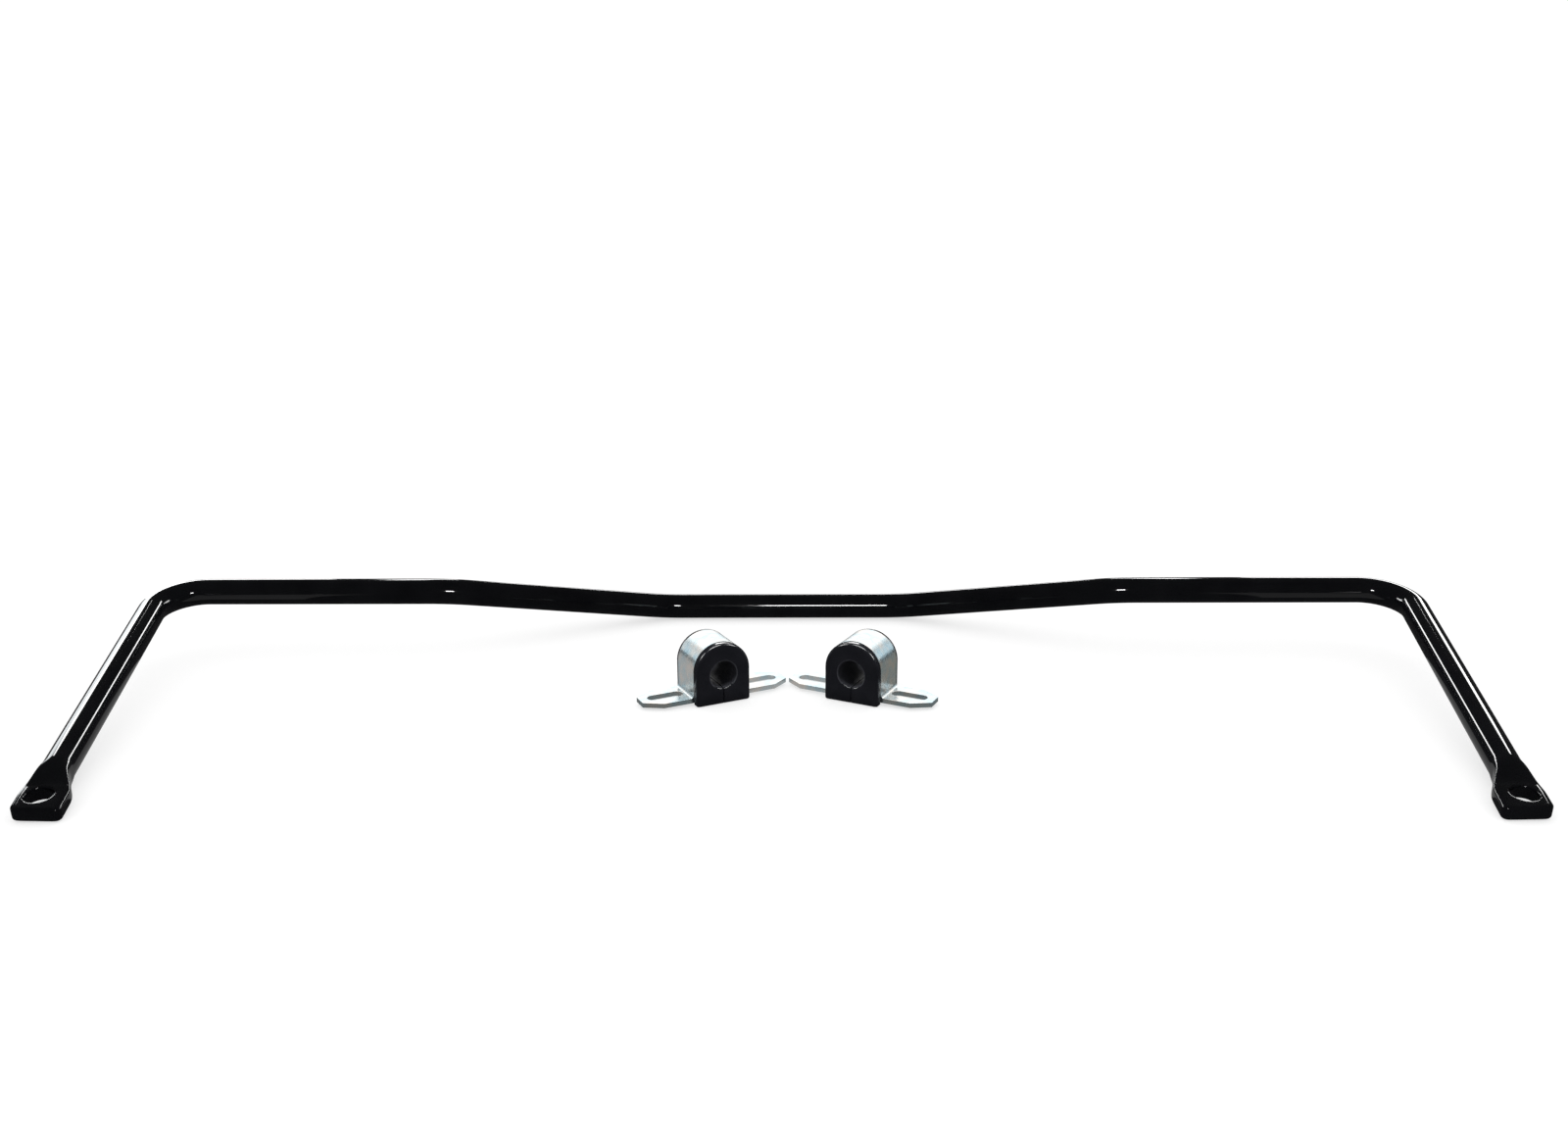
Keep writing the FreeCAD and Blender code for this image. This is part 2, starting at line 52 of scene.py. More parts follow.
BAR_R = 22.225 / 2
CORNER_X, CORNER_BEND = 540.0, 36.0
JOG_OUTER_X, JOG_INNER_X, JOG_BEND = 290.0, 110.0, 75.0
JOG_DROP, JOG_BACK = 41.5, 86.0
ARM_LEN, TOE = 330.0, math.radians(8.7)
EYE_HALF, EYE_TALL, EYE_TIP, EYE_CORNER, EYE_EDGE = 16.5, 5.1, 17.5, 5.0, 2.2
EYE_SHIFT, EYE_NECK, EYE_DIP, EYE_WIDEN, EYE_LEVEL, EYE_FULL = 2.0, 44.0, 40.0, 31.0, 11.0, 1.0
HOLE_R, HOLE_RIM = 9.25, 1.2
BUSH_HALF, CROWN_Z, BORE_Z, BORE_R, SLIT_HALF = 23.0, 26.7, 24.0, 11.1625, 0.4
FRONT_LIP, BACK_LIP, LIP_EDGE, GROOVE = 6.5, 3.5, 2.4, 32.35
STRAP_WIDTH, STRAP_THICK, STRAP_GAP, EAR_LIFT = 31.75, 4.0, 0.3, 1.8
EAR_HALF, EAR_CUT_LONG, EAR_CUT_WIDE, EAR_BEND = 62.5, 14.5, 9.0, 2.6
SLOT_CENTRE, SLOT_LEN, SLOT_WIDTH = 41.0, 29.6, 10.4
SET_TURN = math.radians(26.5)

# spacing and roundness of the bar's sections, and where the eye's slanted end begins
SECTION_POINTS, FINE_POINTS, ROUND_POWER, PAD_POWER = 96, 1441, 2, 8
PAD_STEP, SHOULDER_STEP, SLANT_FROM = 2.6, 1.5, 9
TIP_ANGLES = (90, 82, 74, 66, 57, 48, 39, 29, 18, 8)
RIM_SINK, CUTTER_OVER, HOLE_SIDES = 0.03, 3, 80

# roundings of the bushing, the ring round its bore, and the height over the bore's centre
# from which its mouth is matt
FOOT_R, CORE_FOOT_R, MOUTH_R, FACE_RING = 1.4, 1.0, 1.0, 4.5
MATT_ABOVE = -0.8 * BORE_R

# reach of the bracket's cutters, and the rounding of its edges
CUT_FAR, CUT_TOP, EDGE_ROUND, EDGE_DEGREES, FLAT_WEIGHT = 5, 12, 0.38, 28, 90

OUTER_Z = JOG_DROP + BAR_R
BAR_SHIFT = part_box("sway_bar")[1].y / MM - JOG_BACK - BAR_R
ARM_REACH = ARM_LEN + EYE_TIP
SLOPE = math.asin(OUTER_Z / math.hypot(ARM_REACH, EYE_TALL)) - math.atan2(EYE_TALL, ARM_REACH)
UP = Vector((0, 0, 1))


# --- small helpers -----------------------------------------------------------


def mesh_object(name, points, faces, scale=MM):
    """An object from points in mm and faces, with its normals outside."""
    mesh = bpy.data.meshes.new(name)
    mesh.from_pydata([Vector(p) * scale for p in points], [], faces)
    work = bmesh.new()
    work.from_mesh(mesh)
    bmesh.ops.recalc_face_normals(work, faces=work.faces)
    work.to_mesh(mesh)
    work.free()
    thing = bpy.data.objects.new(name, mesh)
    bpy.context.scene.collection.objects.link(thing)
    return thing


def ring_faces(rings, count, closed_ring=True):
    """Quads between each ring of points and the next."""
    faces = []
    for ring in range(rings - 1):
        for k in range(count if closed_ring else count - 1):
            after = (k + 1) % count
            low, high = ring * count, (ring + 1) * count
            faces.append((low + k, low + after, high + after, high + k))
    return faces


def end_caps(rings, count):
    """One face over the first ring and one over the last."""
    last = (rings - 1) * count
    return [tuple(range(count)), tuple(range(last + count - 1, last - 1, -1))]


def settle(thing):
    """Applies the object's modifiers to its mesh."""
    view = bpy.context.evaluated_depsgraph_get()
    mesh = bpy.data.meshes.new_from_object(thing.evaluated_get(view))
    thing.modifiers.clear()
    old = thing.data
    thing.data = mesh
    bpy.data.meshes.remove(old)


def cut(thing, cutter):
    """Takes the cutter's volume out of the object."""
    step = thing.modifiers.new("cut", "BOOLEAN")
    step.operation, step.solver, step.object = "DIFFERENCE", "EXACT", cutter
    settle(thing)
    bpy.data.objects.remove(cutter)


def smooth(thing, degrees):
    """Smooth shading, with edges sharper than the angle left hard."""
    thing.data.shade_smooth()
    thing.data.set_sharp_from_angle(angle=math.radians(degrees))


def ease(distance, start, end):
    """A smooth rise from 0 at start to 1 at end, for distances that count down."""
    share = min(1, max(0, (start - distance) / (start - end)))
    return share * share * (3 - 2 * share)


# --- the bar -----------------------------------------------------------------


def arm_direction(side):
    """The way an arm runs from its corner to its eye: forwards, slightly inwards and down."""
    flat = math.cos(SLOPE)
    return Vector((-side * math.sin(TOE) * flat, -math.cos(TOE) * flat, -math.sin(SLOPE)))


def corner(side):
    return Vector((side * CORNER_X, BAR_SHIFT, OUTER_Z))


def section_axes(along):
    """Level axis and upright axis of the bar's section; the level one points inwards on both arms."""
    level = along.cross(UP).normalized()
    return level, level.cross(along).normalized()


def bend_stations(before, here, after, radius, count):
    """Points and directions along the arc that rounds one corner of the centreline."""
    into, out = (here - before).normalized(), (after - here).normalized()
    turn = into.angle(out)
    start = here - into * radius * math.tan(turn / 2)
    inward = (out - into * out.dot(into)).normalized()
    for k in range(count + 1):
        angle = turn * k / count
        place = start + into * radius * math.sin(angle) + inward * radius * (1 - math.cos(angle))
        yield place, (into * math.cos(angle) + inward * math.sin(angle)).normalized(), None


def eye_distances():
    """Distances of the eye's sections from the hole's centre, from the tip to the neck."""
    shelf = EYE_TIP - EYE_CORNER
    tip = [-(shelf + EYE_CORNER * math.sin(math.radians(a))) for a in TIP_ANGLES]
    flat = list(np.arange(-shelf, EYE_LEVEL, PAD_STEP))
    return tip + flat + list(np.arange(EYE_LEVEL, EYE_NECK + 0.1, SHOULDER_STEP))


def stations():
    """(centre, direction, distance from the nearer hole or None) along the bar, left to right."""
    corners = [corner(-1) + arm_direction(-1) * ARM_LEN, corner(-1),
               Vector((-JOG_OUTER_X, BAR_SHIFT, OUTER_Z)),
               Vector((-JOG_INNER_X, BAR_SHIFT + JOG_BACK, BAR_R))]
    corners += [Vector((-p.x, p.y, p.z)) for p in reversed(corners)]
    found = []
    for distance in eye_distances():
        found.append((corners[0] - arm_direction(-1) * distance, -arm_direction(-1), distance))
    bends = [(CORNER_BEND, 40), (JOG_BEND, 16), (JOG_BEND, 16)]
    turns = zip(corners, corners[1:], corners[2:], bends + bends[::-1])
    for before, here, after, (radius, count) in turns:
        found += bend_stations(before, here, after, radius, count)
    for distance in reversed(eye_distances()):
        found.append((corners[-1] - arm_direction(1) * distance, arm_direction(1), distance))
    return found


def section_points(distance, count=SECTION_POINTS):
    """One section as (level, upright, reach) offsets: round stock, or the eye where distance is given."""
    if distance is None:
        wide = tall = BAR_R
        spread, power = 0, ROUND_POWER
    else:
        spread, flatten = ease(distance, EYE_WIDEN, EYE_FULL), ease(distance, EYE_DIP, EYE_LEVEL)
        wide = BAR_R + (EYE_HALF - BAR_R) * spread
        tall = BAR_R + (EYE_TALL - BAR_R) * flatten
        power = ROUND_POWER + (PAD_POWER - ROUND_POWER) * flatten
        past = -distance - (EYE_TIP - EYE_CORNER)
        if past > 0:
            wide += math.sqrt(max(0, EYE_CORNER**2 - past**2)) - EYE_CORNER
        past = -distance - (EYE_TIP - EYE_EDGE)
        if past > 0:
            tall += math.sqrt(max(0, EYE_EDGE**2 - past**2)) - EYE_EDGE
    angles = np.linspace(0, 2 * math.pi, FINE_POINTS)
    level = wide * np.sign(np.cos(angles)) * np.abs(np.cos(angles)) ** (2 / power)
    upright = tall * np.sign(np.sin(angles)) * np.abs(np.sin(angles)) ** (2 / power)
    walked = np.concatenate([[0], np.cumsum(np.hypot(np.diff(level), np.diff(upright)))])
    wanted = np.linspace(0, walked[-1], count + 1)[:-1]
    level, upright = np.interp(wanted, walked, level), np.interp(wanted, walked, upright)
    slant = 0 if distance is None else math.tan(TOE) * ease(distance, SLANT_FROM, EYE_CORNER - EYE_TIP)
    return [(u + EYE_SHIFT * spread, v, (u + EYE_SHIFT * spread) * slant) for u, v in zip(level, upright)]


def hole_cutter(side):
    """What the eye's hole and its two rounded rims take away."""
    centre = corner(side) + arm_direction(side) * ARM_LEN
    level, upright = section_axes(arm_direction(side))
    face, mouth = EYE_TALL - RIM_SINK, HOLE_R + HOLE_RIM
    profile = [(-face - CUTTER_OVER, mouth)]
    steps = [math.radians(a) for a in range(0, 91, 10)]
    profile += [(-face + HOLE_RIM * (1 - math.cos(a)), mouth - HOLE_RIM * math.sin(a)) for a in steps]
    profile += [(-height, radius) for height, radius in reversed(profile)]
    points = []
    for height, radius in profile:
        for k in range(HOLE_SIDES):
            angle = 2 * math.pi * (k + 0.5) / HOLE_SIDES
            flat = level * math.cos(angle) + arm_direction(side) * math.sin(angle)
            points.append(centre + upright * height + flat * radius)
    faces = ring_faces(len(profile), HOLE_SIDES) + end_caps(len(profile), HOLE_SIDES)
    return mesh_object("hole_cutter", points, faces)


def make_bar():
    points, rows = [], stations()
    for place, along, distance in rows:
        level, upright = section_axes(along)
        tipwards = Vector() if distance is None else arm_direction(-1 if place.x < 0 else 1)
        for u, v, reach in section_points(distance):
            points.append(place + level * u + upright * v + tipwards * reach)
    count = len(points) // len(rows)
    bar = mesh_object("bar_coated", points, ring_faces(len(rows), count) + end_caps(len(rows), count))
    for side in (-1, 1):
        cut(bar, hole_cutter(side))
    smooth(bar, 50)
    return bar


# --- bushings ----------------------------------------------------------------


def arch_outline(half, base, foot_radius, count=150):
    """A D outline as (x, z) from the slit's right side round to its left side."""
    line = [(SLIT_HALF, base)]
    centre = (half - foot_radius, base + foot_radius)
    for a in np.radians(np.arange(-90, 1, 10)):
        line.append((centre[0] + foot_radius * math.cos(a), centre[1] + foot_radius * math.sin(a)))
    for a in np.radians(np.arange(0, 90.1, 1.5)):
        line.append((half * math.cos(a), CROWN_Z + half * math.sin(a)))
    line += [(-x, z) for x, z in reversed(line[:-1])]
    line = np.array(line)
    walked = np.concatenate([[0], np.cumsum(np.hypot(*np.diff(line, axis=0).T))])
    wanted = np.linspace(0, walked[-1], count)
    return np.stack([np.interp(wanted, walked, line[:, 0]), np.interp(wanted, walked, line[:, 1])], axis=1)


def bore_ring(radius, guide):
    """Points of a circle about the bore, each facing the same way as the guide's point."""
    angle = np.arctan2(guide[:, 1] - BORE_Z, guide[:, 0])
    ring = np.stack([radius * np.cos(angle), BORE_Z + radius * np.sin(angle)], axis=1)
    ring[0] = (SLIT_HALF, BORE_Z - math.sqrt(radius**2 - SLIT_HALF**2))
    ring[-1] = (-SLIT_HALF, ring[0][1])
    return ring


def make_bushing(name, place, materials):
    """One bushing, lofted from its bore over the front face, lips and groove and back into the bore."""
    length = GROOVE + FRONT_LIP + BACK_LIP
    front, back = -length / 2, length / 2
    core = BUSH_HALF - STRAP_THICK - STRAP_GAP
    guide = arch_outline(BUSH_HALF, 0, FOOT_R)
    arc = [math.radians(a) for a in range(0, 91, 15)]
    rings = []

    def lip(inset, y):
        rings.append((arch_outline(BUSH_HALF - inset, inset * 0.25, FOOT_R), y))

    def mouth(angle, y):
        rings.append((bore_ring(BORE_R + MOUTH_R * (1 - math.cos(angle)), guide), y))

    for a in arc:
        mouth(a, front + MOUTH_R * (1 - math.sin(a)))
    rings.append((bore_ring(BORE_R + FACE_RING, guide), front))
    for a in arc:
        lip(LIP_EDGE * (1 - math.sin(a)), front + LIP_EDGE * (1 - math.cos(a)))
    for inset, y in ((0, -0.5), (0.15, -0.15), (0.5, 0)):
        lip(inset, front + FRONT_LIP + y)
    rings.append((arch_outline(core, 0, CORE_FOOT_R), front + FRONT_LIP))
    rings.append((arch_outline(core, 0, CORE_FOOT_R), back - BACK_LIP))
    for inset, y in ((0.5, 0), (0.15, 0.15), (0, 0.5)):
        lip(inset, back - BACK_LIP + y)
    for a in reversed(arc):
        lip(LIP_EDGE * (1 - math.sin(a)), back - LIP_EDGE * (1 - math.cos(a)))
    rings.append((bore_ring(BORE_R + FACE_RING, guide), back))
    for a in reversed(arc):
        mouth(a, back - MOUTH_R * (1 - math.sin(a)))
    count = len(guide)
    points = [(x, y, z) for ring, y in rings for x, z in ring]
    faces = ring_faces(len(rings), count, closed_ring=False)
    last = (len(rings) - 1) * count
    for k in range(count - 1):
        faces.append((last + k, last + k + 1, k + 1, k))
    faces.append(tuple(range(0, len(points), count)))
    faces.append(tuple(range(count - 1, len(points), count))[::-1])
    bushing = mesh_object(name, points, faces)
    for material in materials:
        bushing.data.materials.append(material)
    for face in bushing.data.polygons:
        height = face.center.z / MM - BORE_Z
        reach = math.hypot(face.center.x / MM, height)
        in_mouth = reach < BORE_R + MOUTH_R - 0.05 and height > MATT_ABOVE
        face.material_index = 1 if reach < BORE_R + 0.02 or in_mouth else 0
    smooth(bushing, 40)
    bushing.matrix_world = place
    return bushing


# --- brackets ----------------------------------------------------------------


def arc_points(centre, radius, start, end, steps):
    """Points of an arc in degrees, both ends included."""
    angles = [math.radians(start + (end - start) * k / steps) for k in range(steps + 1)]
    return [(centre[0] + radius * math.cos(a), centre[1] + radius * math.sin(a)) for a in angles]


def strap_outline():
    """The strap seen from its edge, as (x, z): right half first, then its mirror image."""
    outer, inner = BUSH_HALF, BUSH_HALF - STRAP_THICK
    top = EAR_LIFT + STRAP_THICK
    upper = [(EAR_HALF, EAR_LIFT), (EAR_HALF, top)]
    upper += arc_points((outer + EAR_BEND, top + EAR_BEND), EAR_BEND, 270, 180, 8)
    upper += arc_points((0, CROWN_Z), outer, 0, 90, 30)
    upper += [(-x, z) for x, z in reversed(upper[:-1])]
    under_bend = EAR_BEND + STRAP_THICK / 2
    lower = arc_points((-inner - under_bend, EAR_LIFT + under_bend), under_bend, 270, 360, 10)
    lower += arc_points((0, CROWN_Z), inner, 180, 90, 30)
    lower += [(-x, z) for x, z in reversed(lower[:-1])]
    return upper + lower


def prism(name, outline, low, high, axis):
    """A straight prism of an outline, along z or along y."""
    if axis == "z":
        points = [(x, y, h) for h in (low, high) for x, y in outline]
    else:
        points = [(x, h, z) for h in (low, high) for x, z in outline]
    count = len(outline)
    return mesh_object(name, points, ring_faces(2, count) + end_caps(2, count))


def make_bracket(name, place):
    """One strap bracket: the bent strip, its two slots, its four cut corners and its rounded edges."""
    half = STRAP_WIDTH / 2
    bracket = prism(name, strap_outline(), -half, half, "y")
    reach = (SLOT_LEN - SLOT_WIDTH) / 2
    for x_side in (-1, 1):
        slot = arc_points((SLOT_CENTRE + reach, 0), SLOT_WIDTH / 2, -90, 90, 24)
        slot += arc_points((SLOT_CENTRE - reach, 0), SLOT_WIDTH / 2, 90, 270, 24)
        cut(bracket, prism("slot_cutter", [(x_side * x, y) for x, y in slot], 0, CUT_TOP, "z"))
        for y_side in (-1, 1):
            wedge = [(EAR_HALF + CUT_FAR, half + CUT_FAR), (EAR_HALF - EAR_CUT_LONG, half + CUT_FAR),
                     (EAR_HALF - EAR_CUT_LONG, half), (EAR_HALF, half - EAR_CUT_WIDE),
                     (EAR_HALF + CUT_FAR, half - EAR_CUT_WIDE)]
            wedge = [(x_side * x, y_side * y) for x, y in wedge]
            cut(bracket, prism("corner_cutter", wedge, 0, CUT_TOP, "z"))
    edge = bracket.modifiers.new("edges", "BEVEL")
    edge.width, edge.segments, edge.limit_method = EDGE_ROUND * MM, 3, "ANGLE"
    edge.angle_limit = math.radians(EDGE_DEGREES)
    settle(bracket)
    smooth(bracket, 35)
    flats = bracket.modifiers.new("flats", "WEIGHTED_NORMAL")
    flats.keep_sharp, flats.weight = True, FLAT_WEIGHT
    settle(bracket)
    bracket.matrix_world = place
    return bracket


# --- materials ---------------------------------------------------------------


def new_material(name):
    material = bpy.data.materials.new(name)
    material.use_nodes = True
    nodes, links = material.node_tree.nodes, material.node_tree.links
    return material, nodes, links, nodes["Principled BSDF"]


def noise(nodes, links, where, scale, detail=3.0, rough=0.5, stretch=None):
    """A noise texture in the object's own coordinates, per metre; stretch scales each axis."""
    texture = nodes.new("ShaderNodeTexNoise")
    texture.inputs["Scale"].default_value = scale
    texture.inputs["Detail"].default_value = detail
    texture.inputs["Roughness"].default_value = rough
    source = where.outputs["Object"]
    if stretch:
        mapping = nodes.new("ShaderNodeMapping")
        mapping.inputs["Scale"].default_value = stretch
        links.new(source, mapping.inputs["Vector"])
        source = mapping.outputs["Vector"]
    links.new(source, texture.inputs["Vector"])
    return texture.outputs["Fac"]


def spread_between(nodes, links, value, low, high, start=0.3, end=0.7):
    """The value mapped from start..end to low..high."""
    change = nodes.new("ShaderNodeMapRange")
    for socket, number in (("From Min", start), ("From Max", end), ("To Min", low), ("To Max", high)):
        change.inputs[socket].default_value = number
    links.new(value, change.inputs["Value"])
    return change.outputs["Result"]


def colour_between(nodes, links, value, dark, light, start=0.3, end=0.7):
    ramp = nodes.new("ShaderNodeValToRGB")
    ramp.color_ramp.elements[0].position, ramp.color_ramp.elements[0].color = start, (*dark, 1)
    ramp.color_ramp.elements[1].position, ramp.color_ramp.elements[1].color = end, (*light, 1)
    links.new(value, ramp.inputs["Fac"])
    return ramp.outputs["Color"]


def bump(nodes, links, height, strength, distance, under=None):
    step = nodes.new("ShaderNodeBump")
    step.inputs["Strength"].default_value = strength
    step.inputs["Distance"].default_value = distance
    links.new(height, step.inputs["Height"])
    if under is not None:
        links.new(under, step.inputs["Normal"])
    return step.outputs["Normal"]


def powder_coat():
    """Gloss black powder coat: a faint orange peel over fine grain."""
    material, nodes, links, shader = new_material("gloss_black_powder_coat")
    where = nodes.new("ShaderNodeTexCoord")
    cloud = noise(nodes, links, where, 35, 4)
    links.new(colour_between(nodes, links, cloud, (0.0014, 0.0015, 0.0020), (0.0028, 0.0030, 0.0036)),
              shader.inputs["Base Color"])
    links.new(spread_between(nodes, links, noise(nodes, links, where, 90, 3), 0.045, 0.085),
              shader.inputs["Roughness"])
    peel = bump(nodes, links, noise(nodes, links, where, 420, 2), 0.03, 0.0002)
    grain = bump(nodes, links, noise(nodes, links, where, 2600, 2), 0.03, 0.00004, peel)
    links.new(grain, shader.inputs["Normal"])
    shader.inputs["Specular IOR Level"].default_value = 0.42
    shader.inputs["Coat Weight"].default_value = 0.25
    shader.inputs["Coat Roughness"].default_value = 0.04
    return material


def polyurethane():
    """Moulded black polyurethane, semi-gloss, with faint flow marks."""
    material, nodes, links, shader = new_material("black_polyurethane")
    where = nodes.new("ShaderNodeTexCoord")
    cloud = noise(nodes, links, where, 60, 4)
    links.new(colour_between(nodes, links, cloud, (0.0034, 0.0036, 0.0048), (0.0056, 0.0058, 0.0074)),
              shader.inputs["Base Color"])
    links.new(spread_between(nodes, links, noise(nodes, links, where, 140, 4), 0.13, 0.22),
              shader.inputs["Roughness"])
    flow = bump(nodes, links, noise(nodes, links, where, 70, 3, stretch=(1.0, 1.0, 2.2)), 0.05, 0.0006)
    grain = bump(nodes, links, noise(nodes, links, where, 1500, 3), 0.03, 0.00006, flow)
    links.new(grain, shader.inputs["Normal"])
    shader.inputs["Specular IOR Level"].default_value = 0.4
    return material


def ribbed_bore():
    """The bore's wall: matt black with fine ribs round it, which hold grease."""
    material, nodes, links, shader = new_material("black_ribbed_bore")
    where = nodes.new("ShaderNodeTexCoord")
    cloud = noise(nodes, links, where, 200, 3)
    links.new(colour_between(nodes, links, cloud, (0.0130, 0.0135, 0.0165), (0.0200, 0.0205, 0.0245)),
              shader.inputs["Base Color"])
    ribs = nodes.new("ShaderNodeTexWave")
    ribs.bands_direction = "Y"
    ribs.inputs["Scale"].default_value = 130
    links.new(where.outputs["Object"], ribs.inputs["Vector"])
    links.new(bump(nodes, links, ribs.outputs["Fac"], 0.5, 0.0004), shader.inputs["Normal"])
    shader.inputs["Roughness"].default_value = 0.6
    shader.inputs["Specular IOR Level"].default_value = 0.10
    return material


def zinc_plating():
    """Bright zinc on pressed strip: drawn streaks along the strap, bluish with faint warm patches."""
    material, nodes, links, shader = new_material("bright_zinc_plating")
    where = nodes.new("ShaderNodeTexCoord")
    patches = noise(nodes, links, where, 85, 4, 0.6)
    tint = colour_between(nodes, links, patches, (0.58, 0.71, 0.76), (0.82, 0.77, 0.72), 0.38, 0.64)
    links.new(tint, shader.inputs["Base Color"])
    streaks = noise(nodes, links, where, 260, 5, 0.65, stretch=(0.25, 3.2, 0.25))
    links.new(spread_between(nodes, links, streaks, 0.20, 0.33), shader.inputs["Roughness"])
    drawn = bump(nodes, links, streaks, 0.07, 0.00012)
    pits = bump(nodes, links, noise(nodes, links, where, 1300, 3), 0.02, 0.00006, drawn)
    links.new(pits, shader.inputs["Normal"])
    shader.inputs["Metallic"].default_value = 1.0
    return material


def floor_paint():
    material, nodes, links, shader = new_material("pale_floor")
    where = nodes.new("ShaderNodeTexCoord")
    shade = noise(nodes, links, where, 1.5, 2)
    links.new(colour_between(nodes, links, shade, (0.43, 0.43, 0.43), (0.45, 0.45, 0.45)),
              shader.inputs["Base Color"])
    shader.inputs["Roughness"].default_value = 0.9
    shader.inputs["Specular IOR Level"].default_value = 0.0
    shader.inputs["Emission Color"].default_value = (1, 1, 1, 1)
    shader.inputs["Emission Strength"].default_value = 0.62
    return material


def paint(thing, material):
    thing.data.materials.append(material)


# --- studio helpers ----------------------------------------------------------

WHITE, FAR_TINT, SIDE_TINT = (1, 1, 1), (0.94, 0.98, 1.0), (0.80, 0.93, 1.0)
FRONT_TINT, FLOOR_TINT, WARM_TINT = (0.85, 0.95, 1.0), (0.92, 1.0, 1.0), (1.0, 0.99, 0.90)
WORLD_GLOW, WORLD_IN_GLOSS = 1.07, 0.03
SENSOR, LENS, YAW, PITCH, ROLL = 36.0, 32.70, -0.26, 15.96, -0.18
CAMERA_X, CAMERA_Y, CAMERA_Z = 0.0070, -1.1849 + BAR_SHIFT * MM, 0.4188


def receivers(name, things):
    """A collection of the pieces that one group of lamps lights."""
    group = bpy.data.collections.new(name)
    bpy.context.scene.collection.children.link(group)
    for thing in things:
        group.objects.link(thing)
    return group


def softbox(name, place, target, size, radiance, group, tint=WHITE):
    """A rectangular lamp facing a target; radiance is what a mirror would show."""
    width, height = size
    data = bpy.data.lights.new(name, "AREA")
    data.shape, data.size, data.size_y = "RECTANGLE", width, height
    data.energy = radiance * math.pi * width * height
    data.color = tint
    lamp = bpy.data.objects.new(name, data)
    bpy.context.scene.collection.objects.link(lamp)
    lamp.location = place
    lamp.rotation_euler = (Vector(target) - Vector(place)).to_track_quat("-Z", "Y").to_euler()
    lamp.light_linking.receiver_collection = group
    lamp.visible_camera = False


def make_world():
    """White all round for matt surfaces, and almost dark for what glossy ones reflect."""
    world = bpy.data.worlds.new("studio")
    bpy.context.scene.world = world
    world.use_nodes = True
    nodes, links = world.node_tree.nodes, world.node_tree.links
    background = nodes["Background"]
    background.inputs["Color"].default_value = (1, 1, 1, 1)
    path = nodes.new("ShaderNodeLightPath")
    gloss = nodes.new("ShaderNodeMapRange")
    gloss.inputs["To Min"].default_value, gloss.inputs["To Max"].default_value = WORLD_GLOW, WORLD_IN_GLOSS
    links.new(path.outputs["Is Glossy Ray"], gloss.inputs["Value"])
    links.new(gloss.outputs["Result"], background.inputs["Strength"])


def make_camera():
    """The camera, in front of the arms and above them, looking slightly down."""
    data = bpy.data.cameras.new("camera")
    camera = bpy.data.objects.new("camera", data)
    bpy.context.scene.collection.objects.link(camera)
    bpy.context.scene.camera = camera
    data.sensor_width, data.lens = SENSOR, LENS
    yaw, pitch, roll = math.radians(YAW), math.radians(PITCH), math.radians(ROLL)
    forward = Vector((math.sin(yaw) * math.cos(pitch), math.cos(yaw) * math.cos(pitch), -math.sin(pitch)))
    right = Vector((math.cos(yaw), -math.sin(yaw), 0))
    up = right.cross(forward)
    x_axis = right * math.cos(roll) + up * math.sin(roll)
    y_axis = up * math.cos(roll) - right * math.sin(roll)
    turn = Matrix((x_axis, y_axis, -forward)).transposed()
    camera.matrix_world = Matrix.Translation((CAMERA_X, CAMERA_Y, CAMERA_Z)) @ turn.to_4x4()
    data.clip_start, data.clip_end = 0.05, 200


coat, rubber, bore_rubber, zinc = powder_coat(), polyurethane(), ribbed_bore(), zinc_plating()

bar = make_bar()
paint(bar, coat)
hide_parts("sway_bar")
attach(bar, "bar")

bushings, brackets = [], []
for name, side in (("left", -1), ("right", 1)):
    low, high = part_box(f"{name}_bushing")
    centre = Vector(((low.x + high.x) / 2, (low.y + high.y) / 2, 0))
    turn = Matrix.Rotation(-side * SET_TURN, 4, "Z")
    place = Matrix.Translation(centre) @ turn
    bushing = make_bushing(f"{name}_bushing_moulded", place, (rubber, bore_rubber))
    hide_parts(f"{name}_bushing")
    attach(bushing, f"{name}_bushing")
    bushings.append(bushing)
    middle = Matrix.Translation((0, (FRONT_LIP - BACK_LIP) / 2 * MM, 0))
    bracket = make_bracket(f"{name}_bracket_plated", place @ middle)
    paint(bracket, zinc)
    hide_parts(f"{name}_bracket")
    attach(bracket, f"{name}_bracket")
    brackets.append(bracket)

# --- studio ------------------------------------------------------------------

FLOOR_REACH, FLOOR_Z = 60, -0.0004
floor_corners = [(x * FLOOR_REACH, y * FLOOR_REACH, 0) for x, y in ((-1, -1), (1, -1), (1, 1), (-1, 1))]
floor = mesh_object("floor", floor_corners, [(0, 1, 2, 3)], 1.0)
floor.location.z = FLOOR_Z
floor.data.materials.append(floor_paint())
floor.visible_glossy = False

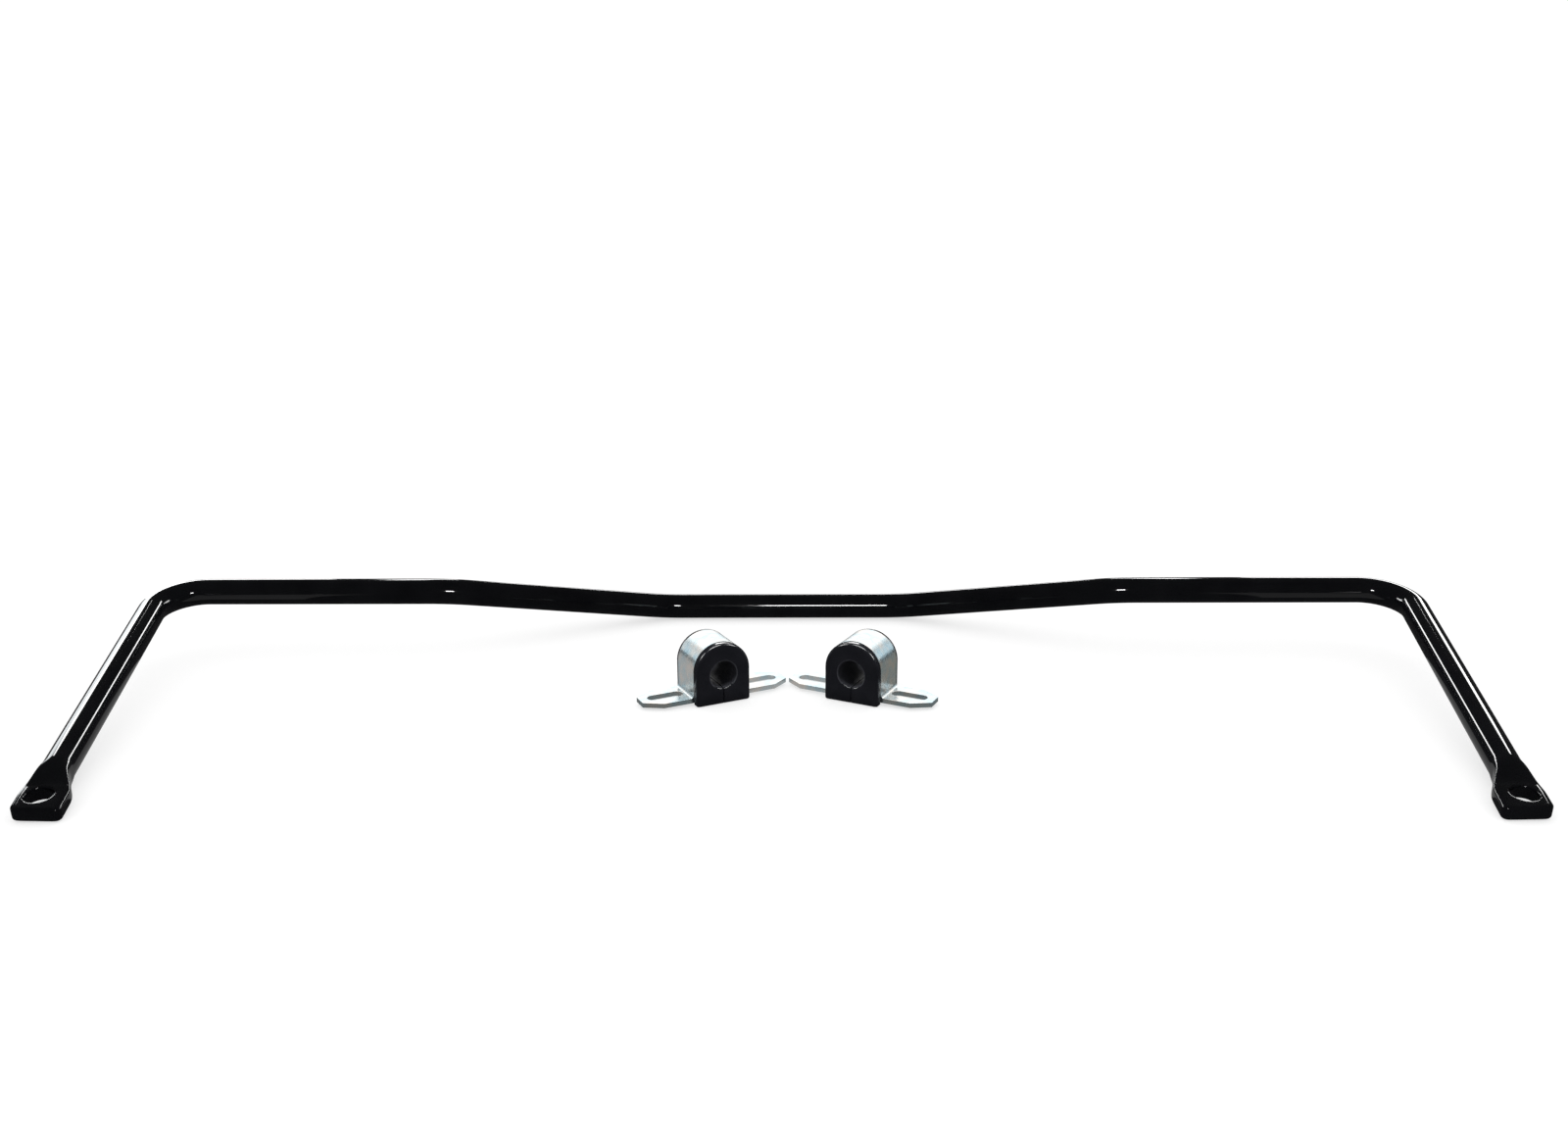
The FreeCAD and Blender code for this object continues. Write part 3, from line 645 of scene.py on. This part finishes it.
coated, plated = receivers("coated", [bar]), receivers("plated", brackets)
moulded = receivers("moulded", bushings)
UNDER = -0.0002
for side in (-1, 1):
    # the far and near lines are panels that stand along each side and face the middle
    softbox(f"far_line_{side}", (side * 1.3, 4.8, 2.07), (0, 4.8, 2.07), (3.8, 0.56), 12.0, coated)
    softbox(f"near_line_{side}", (side * 1.3, 1.85, 0.68), (0, 1.85, 0.68), (2.1, 0.34), 9.0, coated)
    arm = side * 0.497
    softbox(f"arm_floor_{side}", (arm, -0.05, UNDER), (arm, -0.05, 1), (0.13, 0.26), 0.22, coated)
    softbox(f"moulded_side_{side}", (side * 1.25, -0.10, 1.0), (0, -0.1, 0.03), (0.45, 0.55), 26.0, moulded)
    beside = (side * 2.2, 0.6, 0.95)
    softbox(f"plated_side_{side}", beside, (0, 0.6, 0.95), (2.6, 1.5), 0.95, plated, SIDE_TINT)

# further panels for the pale strip on the outer side of the left arm
softbox("far_side", (-2.95, 3.0, 1.20), (-2.95, 0, 1.20), (1.55, 1.45), 3.6, coated, FAR_TINT)
softbox("far_edge", (-3.1, 3.0, 0.20), (-3.1, 0, 0.20), (1.2, 0.50), 0.4, coated)
softbox("far_low", (-2.2, 3.0, 0.25), (-2.2, 0, 0.25), (0.6, 0.50), 9.0, coated)

softbox("front_line", (0.08, -1.2, 0.55), (0.02, 0.15, 0.03), (0.25, 0.13), 50.0, coated)
softbox("plated_back", (0.0, 3.0, 2.0), (0, 0, 2.0), (6.0, 4.0), 1.35, plated)
softbox("plated_top", (0.0, 0.3, 1.6), (0, 0, 0), (3.0, 2.6), 1.35, plated)
softbox("plated_front", (0.0, -2.2, 0.5), (0, 0, 0), (3.0, 0.8), 0.12, plated, FRONT_TINT)

# the floor as the plated brackets reflect it: dimmest in front, warmer on the right
ahead, left, right = (0.0, -0.60), (-0.73, 0.60), (0.77, 0.60)
softbox("plated_floor_front", (*ahead, UNDER), (*ahead, 1), (3.0, 1.2), 0.15, plated, FLOOR_TINT)
softbox("plated_floor_left", (*left, UNDER), (*left, 1), (1.54, 1.20), 0.42, plated)
softbox("plated_floor_right", (*right, UNDER), (*right, 1), (1.46, 1.20), 0.20, plated, WARM_TINT)

softbox("far_middle", (0.0, 4.8, 1.2), (0, 0, 1.2), (1.5, 0.45), 8.0, coated)
softbox("moulded_top", (0.0, -0.25, 1.3), (0, -0.1, 0.03), (1.0, 0.40), 22.0, moulded)
softbox("moulded_back", (0.0, 2.5, 1.08), (0, -0.1, 0.03), (1.2, 0.50), 14.0, moulded)

make_world()
make_camera()
bpy.context.scene.view_settings.view_transform = "Standard"
bpy.context.scene.view_settings.look = "None"
